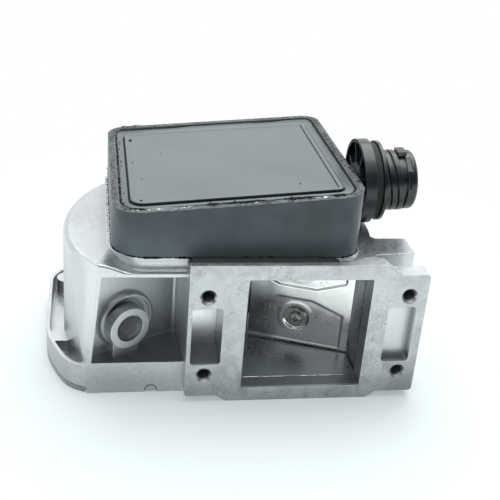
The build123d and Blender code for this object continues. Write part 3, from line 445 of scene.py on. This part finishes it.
def make_materials():
    cast_metal("cast_aluminium", (0.64, 0.67, 0.68), (0.54, 0.57, 0.58), 0.32, is_housing=True)
    # the cover drawn darker than the housing: painted shade on the duct's floor
    cast_metal("cover_aluminium", (0.36, 0.385, 0.395), (0.28, 0.30, 0.31), 0.27, pitted=0.4)
    flap_metal("vane_aluminium", (0.86, 0.88, 0.875), 0.15)
    plain_metal("zinc_steel", (0.46, 0.47, 0.46), 0.28)
    plain_metal("spring_steel", (0.45, 0.46, 0.48), 0.32)
    plain_metal("shaft_steel", (0.60, 0.61, 0.63), 0.25)
    plain_metal("arm_metal", (0.60, 0.57, 0.50), 0.33)
    plain_metal("bronze", (0.55, 0.36, 0.18), 0.4)
    plain_metal("screw_steel", (0.16, 0.17, 0.18), 0.5)
    plain_metal("pin_tin", (0.66, 0.64, 0.60), 0.3)
    plain_metal("strip_metal", (0.62, 0.54, 0.38), 0.35)
    # the case's and lid's lighter tops are partly painted sheen; the case's lighter foot is painted light
    moulded("case_plastic", (0.086, 0.103, 0.115), 0.36, dust_and_sheen=0.35, dust_and_sheen_colour=(0.16, 0.19, 0.195),
            scuff=0.05, shine=0.26, foot=CASE_BOTTOM)
    moulded("lid_plastic", (0.056, 0.070, 0.076), 0.36, dust_and_sheen=0.5, dust_and_sheen_colour=(0.20, 0.235, 0.238),
            scuff=0.05)
    moulded("shell_plastic", (0.013, 0.017, 0.020), 0.29, dust_and_sheen=0.06, dust_and_sheen_colour=(0.16, 0.18, 0.19),
            scuff=0.2, round_edge=0.0003, shine=0.6, edge_wear_and_highlight=0.9)
    moulded("insert_plastic", (0.018, 0.019, 0.021), 0.45)
    moulded("probe_plastic", (0.03, 0.03, 0.032), 0.4)
    moulded("wheel_plastic", (0.45, 0.40, 0.30), 0.45)
    moulded("board_ceramic", (0.76, 0.75, 0.70), 0.5)
    moulded("gasket_rubber", (0.009, 0.011, 0.012), 0.6, scuff=0.1, shine=0.08)
    moulded("seal_rubber", (0.014, 0.015, 0.017), 0.7, scuff=0.1)
    moulded("stop_rubber", (0.02, 0.02, 0.02), 0.7, scuff=0.1)
    smeared("silicone", (0.010, 0.014, 0.014), (0.085, 0.108, 0.105))


def dress_nodes():
    """Give each solid's mesh the material of its slot."""
    slots = {s["node"]: s["material_slot"] for s in frame["record"]["subparts"]}
    for name, ob in frame["nodes"].items():
        mat = MATERIALS[slots[name]]
        if not ob.data.materials:
            ob.data.materials.append(mat)
        for i in range(len(ob.data.materials)):
            ob.data.materials[i] = mat


# ---------------------------------------------------------------- floor and world
def floor_paper():
    """Pale paper that fades to white far off. Metal mirrors it as a glow with painted shade near the front.
    """
    t = start_material("floor_paper")
    paper = t.node("BsdfPrincipled", {"Base Color": (0.86, 0.93, 0.935, 1), "Roughness": 0.8,
                                      "Specular IOR Level": 0.2})
    x, y, _ = t.axes(t.where())
    far = t.hypot(t.math("ADD", x, 0.02), t.math("ADD", y, -0.03))
    path = t.node("LightPath").outputs
    seen = t.math("MAXIMUM", path["Is Camera Ray"], path["Is Glossy Ray"])
    seen = t.math("MAXIMUM", seen, path["Is Transmission Ray"])
    glow = t.node("Emission", {"Color": (1, 1, 1, 1), "Strength": 1.0})
    lift = t.product(t.span(far, 0.09, 0.26, 0.25, 1.0), seen)
    lit = t.node("MixShader", {0: lift, 1: paper.outputs[0], 2: glow.outputs[0]})
    side = t.math("SUBTRACT", t.math("ABSOLUTE", t.math("ADD", x, 0.016)), 0.060)
    side = t.math("MULTIPLY", t.math("MAXIMUM", side, 0.0), 0.6)
    ahead = t.math("MAXIMUM", t.math("MULTIPLY", y, -1.0), 0.0)
    # painted shade in the floor's reflection near the front
    shade = t.span(t.hypot(side, ahead), -0.01, 0.055, 0.42, 1.45)
    mirrored = t.node("Emission", {"Color": (0.95, 1.0, 1.0, 1), "Strength": shade})
    both = t.node("MixShader", {0: path["Is Glossy Ray"], 1: lit.outputs[0], 2: mirrored.outputs[0]})
    t.put(t.node("OutputMaterial").inputs[0], both.outputs[0])


def make_floor():
    """Round floor, a hair under the base."""
    floor_paper()
    sides, radius, gap = 96, 4, 0.00004
    turns = [2 * math.pi * k / sides for k in range(sides)]
    verts = [(radius * math.cos(a), radius * math.sin(a), FLOOR_Z * MM - gap) for a in turns]
    me = bpy.data.meshes.new("floor")
    me.from_pydata(verts, [], [list(range(sides))])
    me.materials.append(MATERIALS["floor_paper"])
    ob = link(bpy.data.objects.new("floor", me))


def make_world():
    """White to the camera. What lights the object is dimmer low on the side the camera stands on."""
    world = bpy.data.worlds.new("studio")
    bpy.context.scene.world = world
    world.use_nodes = True
    world.node_tree.nodes.clear()
    t = Tree(world.node_tree)
    path = t.node("LightPath").outputs
    _, y, z = t.axes(t.node("TexCoord").outputs["Generated"])
    dim = t.product(t.span(y, 0.25, -0.45), t.span(z, 0.95, 0.5))
    seen = t.math("MAXIMUM", path["Is Camera Ray"], path["Is Transmission Ray"])
    mirror = t.node("Background", {"Color": (1, 1, 1, 1), "Strength": t.span(dim, 0.0, 1.0, 1.18, 0.10)})
    fill = t.node("Background", {"Color": (0.90, 0.97, 1.0, 1), "Strength": t.span(dim, 0.0, 1.0, 0.7, 0.2)})
    white = t.node("Background", {"Color": (1, 1, 1, 1), "Strength": 1.0})
    light = t.node("MixShader", {0: path["Is Glossy Ray"], 1: fill.outputs[0], 2: mirror.outputs[0]})
    mix = t.node("MixShader", {0: seen, 1: light.outputs[0], 2: white.outputs[0]})
    t.put(t.node("OutputWorld").inputs[0], mix.outputs[0])


# ---------------------------------------------------------------- mesh helpers
def piece(name, verts, faces, body, slot):
    """A mesh in millimetres that rides on a body and takes its finish from a slot."""
    me = bpy.data.meshes.new(name)
    me.from_pydata([tuple(c * MM for c in v) for v in verts], [], faces)
    me.materials.append(MATERIALS[slot])
    for p in me.polygons:
        p.use_smooth = True
    ob = link(bpy.data.objects.new(name, me))
    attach(ob, body)
    return ob


def grid_faces(rows, cols, start=0, wrap=False):
    """Quads over rows of cols points; wrap joins the last row to the first."""
    faces = []
    for i in range(rows - (0 if wrap else 1)):
        for j in range(cols - 1):
            a, b = start + i * cols + j, start + (i + 1) % rows * cols + j
            faces.append((a, b, b + 1, a + 1))
    return faces


def round_line(box, radii, step=0.5):
    """Points and outward normals along a rounded rectangle; radii as in CASE_RADII."""
    x0, x1, y0, y1 = box
    pts = []
    for x, y, r, a0 in zip((x0, x1, x1, x0), (y0, y0, y1, y1), radii, (180, 270, 0, 90)):
        cx, cy = x + (r if x == x0 else -r), y + (r if y == y0 else -r)
        n = max(6, int(math.pi / 2 * r / step))
        for k in range(n + 1):
            a = math.radians(a0 + 90 * k / n)
            pts.append((cx + r * math.cos(a), cy + r * math.sin(a), math.cos(a), math.sin(a)))
    line = []
    for p, q in zip(pts, pts[1:] + pts[:1]):
        n = max(1, int(math.dist(p[:2], q[:2]) / step))
        line += [tuple(a + (b - a) * k / n for a, b in zip(p, q)) for k in range(n)]
    return line


CASE_LINE = round_line(CASE, CASE_RADII)
LID_LINE = round_line(LID, LID_RADII, 1.0)
PANEL_LINE = round_line(PANEL, PANEL_RADII, 1.0)


def facing(nx, ny):
    """How much an outline's normal faces the front, right, back and left, each 0 to 1."""
    return [max(0.0, v) ** 4 for v in (-ny, nx, ny, -nx)]


def on_top(x, y, nx, ny, inset, height):
    """Point inset from an outline's point, at a height over the sloping top."""
    px = x - nx * inset
    return (px, y - ny * inset, top_z(px, height))


def ring_stack(line, levels, start=0):
    """Rings of one outline, each (inset, height over the sloping top), closed by flat faces."""
    n = len(line)
    verts = [on_top(*at, inset, height) for inset, height in levels for at in line]
    faces = []
    for k in range(len(levels) - 1):
        for i in range(n):
            j = (i + 1) % n
            quad = (k * n + i, k * n + j, (k + 1) * n + j, (k + 1) * n + i)
            faces.append(tuple(start + v for v in quad))
    faces.append(tuple(start + v for v in range((len(levels) - 1) * n, len(levels) * n)))
    faces.append(tuple(start + v for v in reversed(range(n))))
    return verts, faces


# ---------------------------------------------------------------- the flap, in its own x and z
FLAP_X, FLAP_Z, FLAP_THICK = (8.2, 51.6), (-23.5, 24.4), 2.2
FLAP_TURN = math.radians(-21.4)         # from the x axis, at rest
PANEL_LOW = [(-8, -22.6), (-8, -13.6), (20.8, -2.4), (34.8, -2.4), (48.0, -7.2), (48.0, -22.6)]
PANEL_UP = [(-8, 30), (48.0, 30), (48.0, 8.0), (35.9, 3.2), (20.5, 3.2), (-8, 14.6)]
DIMPLES = [(28.4, -11.65), (28.4, 12.55)]


def outside(x, z, corners):
    """Distance outside a convex outline given clockwise, negative inside."""
    far = -1e9
    for (ax, az), (bx, bz) in zip(corners, corners[1:] + corners[:1]):
        ex, ez = bx - ax, bz - az
        far = max(far, ((x - ax) * -ez + (z - az) * ex) / math.hypot(ex, ez))
    return far


def to_dimple(x, z):
    return min(math.hypot(x - cx, z - cz) for cx, cz in DIMPLES)


def flap_depth(x, z):
    """How far the flap's face lies behind its front plane: sunk panels, and screw seats with a lip."""
    depth = 0.5 * max(smooth(-outside(x, z, c), -0.45, 0.45) for c in (PANEL_LOW, PANEL_UP))
    r = to_dimple(x, z)
    lip = 0.07 * smooth(r, 5.2, 6.2) * smooth(r, 8.2, 6.6)
    seat = 1.0 * smooth(r, 6.3, 4.8)
    return max(depth - lip, seat) + 0.03 * rough_noise(x, z, 3.0, 0.12)


def make_flap():
    """The flap's plate with its creases and screw seats, closed by a flat back."""
    (x0, x1), (z0, z1) = FLAP_X, FLAP_Z
    nx, nz = 126, 138
    verts = []
    for back in (False, True):
        for i in range(nx):
            for j in range(nz):
                x, z = x0 + (x1 - x0) * i / (nx - 1), z0 + (z1 - z0) * j / (nz - 1)
                y = FLAP_THICK + 0.2 * smooth(to_dimple(x, z), 6.2, 5.6) if back else flap_depth(x, z)
                verts.append((x, y, z))
    face = grid_faces(nx, nz)
    rear = [tuple(v + nx * nz for v in reversed(f)) for f in face]
    rim = [i * nz for i in range(nx)] + [(nx - 1) * nz + j for j in range(1, nz)]
    rim += [i * nz + nz - 1 for i in range(nx - 2, -1, -1)] + [j for j in range(nz - 2, 0, -1)]
    wall = [(a, b, b + nx * nz, a + nx * nz) for a, b in zip(rim[1:] + rim[:1], rim)]
    c, s = math.cos(FLAP_TURN), math.sin(FLAP_TURN)
    verts = [(PX + x * c - y * s, PY + x * s + y * c, z) for x, y, z in verts]
    ob = piece("flap_plate", verts, face + rear + wall, "rotor", "vane_aluminium")
    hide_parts("measuring_flap")


# ---------------------------------------------------------------- the lid and its silicone
def rim_film():
    """Dark film of silicone on the case's rim: thin on the left, a roll on the right, torn in front."""
    cols, lip = 18, 0.04
    verts = []
    for x, y, nx, ny in CASE_LINE:
        front, right, back, _ = facing(nx, ny)
        corner = smooth(math.hypot(x + 70, y - 105), 16.0, 6.0)
        wide = 3.05 + 0.45 * rough_noise(x, y, 5.0, 0.5) + 0.35 * rough_noise(x, y, 9.0, 1.7)
        wide += front * (0.6 + 1.5 * rough_noise(x, y, 2.0, 0.3)) + corner * 0.8
        roll = right * (0.40 + 0.5 * rough_noise(x, y, 1.0, 0.12) + 0.7 * smooth(abs(y - 59), 7.0, 2.0))
        roll += corner * (0.5 + 0.7 * rough_noise(x, y, 3.0, 0.4))
        roll += back * 0.25 * rough_noise(x, y, 7.0, 0.3)
        rips = rough_noise(x, y, 6.0, 0.42) + 0.5 * rough_noise(x, y, 2.0, 1.1)
        torn = front * 1.1 * smooth(rips, 0.0, 0.3)
        for j in range(cols):
            f = j / (cols - 1)
            inset = lip + (wide - lip) * f
            px, py = x - nx * inset, y - ny * inset
            crown = max(0.0, math.sin(math.pi * min(1.0, 0.04 + f))) ** 0.5
            lumps = 0.20 * rough_noise(px, py, 1.0, 0.8) + 0.17 * rough_noise(px, py, 4.0, 1.9)
            lumps += front * 0.45 * rough_noise(px, py, 8.0, 0.5)
            height = crown * (0.22 + lumps + roll * math.sin(math.pi * f)) - 0.12
            height -= torn * smooth(f, 0.2, 0.5)
            verts.append((px, py, top_z(px, max(-0.34, min(1.1, height)))))
    piece("rim_film", verts, grid_faces(len(CASE_LINE), cols, wrap=True), "housing", "silicone")


def joint_line():
    """Black silicone left in the joint between the rim and the lid, in places broken or spread."""
    cols = 7
    verts = []
    for x, y, nx, ny in CASE_LINE:
        front, _, back, left = facing(nx, ny)
        half = 0.50 + 0.30 * rough_noise(x, y, 3.0, 0.6) + 0.30 * rough_noise(x, y, 8.0, 2.0)
        half += front * 0.8 * rough_noise(x, y, 1.0, 0.25)
        half += left * (1.5 * rough_noise(x, y, 6.0, 0.55) - 0.52)
        lumps = smooth(abs(x + 2), 9.0, 3.0) + smooth(abs(x + 56), 19.0, 12.0)
        thick = back * (0.25 + 0.7 * lumps)
        gone = front * 0.9 * max(smooth(abs(x - bx), 1.2 * bw, 0.5 * bw) for bx, _, bw, _ in TORN_BITS)
        half = max(0.03, half + thick + gone * (0.5 + 0.9 * rough_noise(x, y, 1.0, 0.9)))
        middle = 3.45 + 0.3 * rough_noise(x, y, 5.0, 0.9) + 0.75 * thick - 0.45 * gone
        for j in range(cols):
            f = 2 * j / (cols - 1) - 1
            inset = middle + half * f
            px, py = x - nx * inset, y - ny * inset
            height = (0.44 + 0.5 * gone) * (1 - f * f) ** 0.5 + 0.1 * rough_noise(px, py, 2.0, 1.5)
            verts.append((px, py, top_z(px, height - 0.36)))
    piece("joint_line", verts, grid_faces(len(CASE_LINE), cols, wrap=True), "housing", "gasket_rubber")


def film_curls():
    """Slivers of film that stand up along the torn front and at the rear left corner."""
    rows, cols = 22, 6
    verts, faces = [], []
    for x0, y0, long, wide, tilt in CURLS:
        faces += grid_faces(rows, cols, len(verts))
        for i in range(rows):
            u = i / (rows - 1)
            x = x0 + long * u
            taper = math.sin(math.pi * min(1.0, 0.03 + u)) ** 0.7
            across = wide * taper * (1 + 0.6 * rough_noise(x, y0, 1.0, 0.8))
            for j in range(cols):
                v = j / (cols - 1) - 0.5
                y = y0 + tilt * long * u + across * v + 0.35 * rough_noise(x, 3.0, y0, 0.7)
                crown = taper * (0.45 * (0.25 - v * v) + 0.3 * v)
                verts.append((x, y, top_z(x, 0.12 + crown + 0.12 * rough_noise(x, y, 5.0, 1.3))))
    piece("film_curls", verts, faces, "housing", "silicone")


def make_lid():
    """Flat lid with its raised panel: rounded edge, low border, shallow middle."""
    plate = [(0.0, -2.8), (0.0, LID_TOP - 0.12), (0.12, LID_TOP)]
    border = [(-0.05, -0.5), (0.0, 0.48), (0.07, 0.62), (0.22, 0.69), (1.55, 0.70), (1.70, 0.62),
              (1.85, 0.45), (2.1, PANEL_TOP)]
    verts, faces = ring_stack(LID_LINE, plate)
    more_verts, more_faces = ring_stack(PANEL_LINE, border, len(verts))
    ob = piece("lid_plate", verts + more_verts, faces + more_faces, "housing", "lid_plastic")
    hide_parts("case_lid")


def panel_groove_shade():
    """Dark strips round the lid's raised panel, painted shade in its grooves: an even outer one, an inner
    one wide only on the right.
    """
    verts, faces = [], []
    for near, wide, height, thinnest in ((-0.75, 0.73, -0.27, 1.0), (1.55, 0.50, 0.60, 0.12)):
        faces += grid_faces(len(PANEL_LINE), 2, len(verts), wrap=True)
        for x, y, nx, ny in PANEL_LINE:
            share = thinnest + (1 - thinnest) * facing(nx, ny)[1]
            verts += [on_top(x, y, nx, ny, inset, height) for inset in (near, near + wide * share)]
    piece("panel_groove_shade", verts, faces, "housing", "gasket_rubber")


# ---------------------------------------------------------------- round the case's foot
def foot_bead():
    """Uneven black bead where the case stands on its pad."""
    cols = 7
    verts = []
    for x, y, nx, ny in CASE_LINE:
        r = 0.30 + 0.45 * rough_noise(x, y, 0.0, 0.5) + 0.25 * rough_noise(x, y, 7.0, 1.7)
        r = max(0.02, r)
        for j in range(cols):
            a = math.radians(-70 + 170 * j / (cols - 1))
            out = r * math.cos(a) - 0.15
            verts.append((x + nx * out, y + ny * out, CASE_BOTTOM - 0.2 + r * math.sin(a)))
    piece("foot_bead", verts, grid_faces(len(CASE_LINE), cols, wrap=True), "housing", "gasket_rubber")


def trench_dark_fill():
    """Dark lumpy fill at the foot of the pad, in the trench behind the flange's lip."""
    rows, cols = 160, 12
    x0, x1, y0, y1 = -45.9, 14.0, 4.5, 11.5
    verts = []
    for i in range(rows):
        x = x0 + (x1 - x0) * i / (rows - 1)
        ends = smooth(x, x0, x0 + 1.2) * smooth(x, x1, x1 - 6.0)
        for j in range(cols):
            f = j / (cols - 1)
            y = y0 + (y1 - y0) * f
            lumps = 0.22 * rough_noise(x, y, 0.0, 0.45) + 0.16 * rough_noise(x, y, 3.0, 1.6)
            verts.append((x, y, 26.9 + ends * (0.35 + 1.35 * smooth(f, 0.45, 0.85) + lumps)))
    piece("trench_dark_fill", verts, grid_faces(rows, cols), "housing", "stop_rubber")


def strip_ramp():
    """Ramp from the drum's roof down to the low strip in front of the case, with a rounded front edge."""
    rows, cols = 30, 26
    turn, long, start_x, start_y = math.radians(20), 13.5, -75.2, 20.0
    y0, y1, round_r = 7.47, 21.0, 1.0
    roof, low, seat, under = 27.17, 23.27, 23.1, 23.0
    verts = []
    for i in range(rows):
        d = long * i / (rows - 1)
        top = roof - (roof - low) * smooth(d, -0.5, long)
        r = min(round_r, top - seat)
        for j in range(-1, cols):
            y = y0 + (y1 - y0) * (max(0, j) / (cols - 1)) ** 1.8
            x = start_x + (y - start_y) * math.tan(turn) + d / math.cos(turn)
            near = max(0.0, r - (y - y0))
            z = under if j < 0 else top - (r - math.sqrt(r * r - near * near))
            verts.append((x, y, z))
    piece("strip_ramp", verts, grid_faces(rows, cols + 1), "housing", "cast_aluminium")


# ---------------------------------------------------------------- casting marks, boss cap and threads
def mouth_flash():
    """Thin casting lines across the mouth's floor and up its right wall."""
    half, tall, rows = 0.28, 0.34, 60
    across = Vector((0, 1, 0))
    runs = [((-23.7, 7.75, -23.5), (19.5, 7.75, -23.5), (0, 0, 1)),
            ((25.4, 13.3, -23.6), (25.4, 13.3, 24.6), (-1, 0, 0))]
    verts, faces = [], []
    for a, b, out in runs:
        faces += grid_faces(rows, 3, len(verts))
        for i in range(rows):
            at = Vector(a).lerp(Vector(b), i / (rows - 1))
            rise = tall * (0.75 + 0.8 * rough_noise(*at, 0.5))
            for side, up in ((-1, -0.05), (0, rise), (1, -0.05)):
                verts.append(tuple(at + across * (half * side) + Vector(out) * up))
    piece("mouth_flash", verts, faces, "housing", "vane_aluminium")


def foot_mark():
    """Half round ridge on the foot band."""
    steps = 18
    verts = []
    for i in range(steps + 1):
        a = math.pi * i / steps
        for r, out in ((2.1, 0.03), (2.3, 0.24), (2.5, 0.03)):
            verts.append((FOOT_MARK[0] + r * math.cos(a), FRONT_Y - out, FOOT_MARK[1] + r * math.sin(a)))
    piece("foot_mark", verts, grid_faces(steps + 1, 3), "housing", "screw_steel")


def adjuster_cap():
    """Pressed cap over the adjusting screw, dished, a little inside the boss's rim."""
    out = Vector((math.sin(BOSS_SLANT), -math.cos(BOSS_SLANT), 0))
    along = Vector((math.cos(BOSS_SLANT), math.sin(BOSS_SLANT), 0))
    rings, steps, outer = 9, 40, 5.55
    verts = []
    for i in range(rings):
        r = outer * i / (rings - 1)
        depth = 0.75 + 0.75 * (1 - (r / outer) ** 2) - 0.25 * smooth(r, 4.7, 5.5)
        for k in range(steps):
            a = 2 * math.pi * k / steps
            level = Vector((0, 0, r * math.sin(a)))
            verts.append(tuple(Vector(BOSS_FACE) + along * (r * math.cos(a)) + level - out * depth))
    faces = []
    for i in range(rings - 1):
        for k in range(steps):
            j = (k + 1) % steps
            faces.append((i * steps + k, (i + 1) * steps + k, (i + 1) * steps + j, i * steps + j))
    piece("adjuster_cap", verts, faces, "housing", "screw_steel")


def flange_threads():
    """Turns of the M6 threads just inside the four flange holes."""
    turns, steps, pitch, first, last = 6, 28, 1.0, 0.75, 6.98
    ridge = ((2.56, -0.5), (2.2, -0.08), (2.2, 0.08), (2.56, 0.5))
    verts, faces = [], []
    for hx, hz in HOLES:
        faces += grid_faces(turns * steps + 1, len(ridge), len(verts))
        for k in range(turns * steps + 1):
            a = 2 * math.pi * k / steps
            y = first + pitch * k / steps
            verts += [(hx + r * math.cos(a), min(last, y + dy), hz + r * math.sin(a)) for r, dy in ridge]
    piece("flange_threads", verts, faces, "housing", "cast_aluminium")


def crumb(x, y, z, r, tall):
    """Points of one small lump."""
    verts = []
    for i in range(5):
        for j in range(8):
            a, b = math.pi * i / 4, 2 * math.pi * j / 7
            out = r * (1 + 0.35 * rough_noise(x + i, y + j % 7, r, 1.3)) * math.sin(a)
            verts.append((x + out * math.cos(b), y + 1.5 * out * math.sin(b), z + tall * math.cos(a)))
    return verts


def sealant_crumbs():
    """Small dark bits of the torn sealant on the lid, along its joint and beside the case's left foot."""
    rng = random.Random(4)
    spots = []
    for _ in range(20):
        spots.append((rng.uniform(-71.3, -69.6), rng.uniform(14, 104), rng.uniform(0.15, 0.35), LID_TOP))
    for _ in range(18):
        x, y, r = rng.uniform(-60, 15), rng.uniform(13.6, 16.6), rng.uniform(0.15, 0.5)
        spots.append((x, y, r, LID_TOP))
    spots += [(x, y, r, PANEL_TOP) for x, y, r in LID_CRUMBS]
    spots += [(-75.5 + rng.uniform(-0.1, 0.1), y, rng.uniform(0.12, 0.36), None) for y in range(34, 94, 3)]
    verts, faces = [], []
    for x, y, r, over_top in spots:
        faces += grid_faces(5, 8, len(verts))
        z = CASE_BOTTOM - 0.4 if over_top is None else top_z(x, over_top)
        verts += crumb(x, y, z, r, r * rng.uniform(0.5, 0.9))
    piece("sealant_crumbs", verts, faces, "housing", "gasket_rubber")


bpy.context.scene.view_settings.view_transform = "Standard"
make_camera()
make_world()
make_materials()
dress_nodes()
make_floor()
make_flap()
rim_film()
joint_line()
film_curls()
make_lid()
panel_groove_shade()
foot_bead()
trench_dark_fill()
mouth_flash()
foot_mark()
strip_ramp()
adjuster_cap()
flange_threads()
sealant_crumbs()
soft_light("top_box", at=(0.05, 0.35, 0.95), side=1.1, power=11.0)
soft_light("front_box", at=(-0.55, -0.7, 0.75), side=0.8, power=0.9)
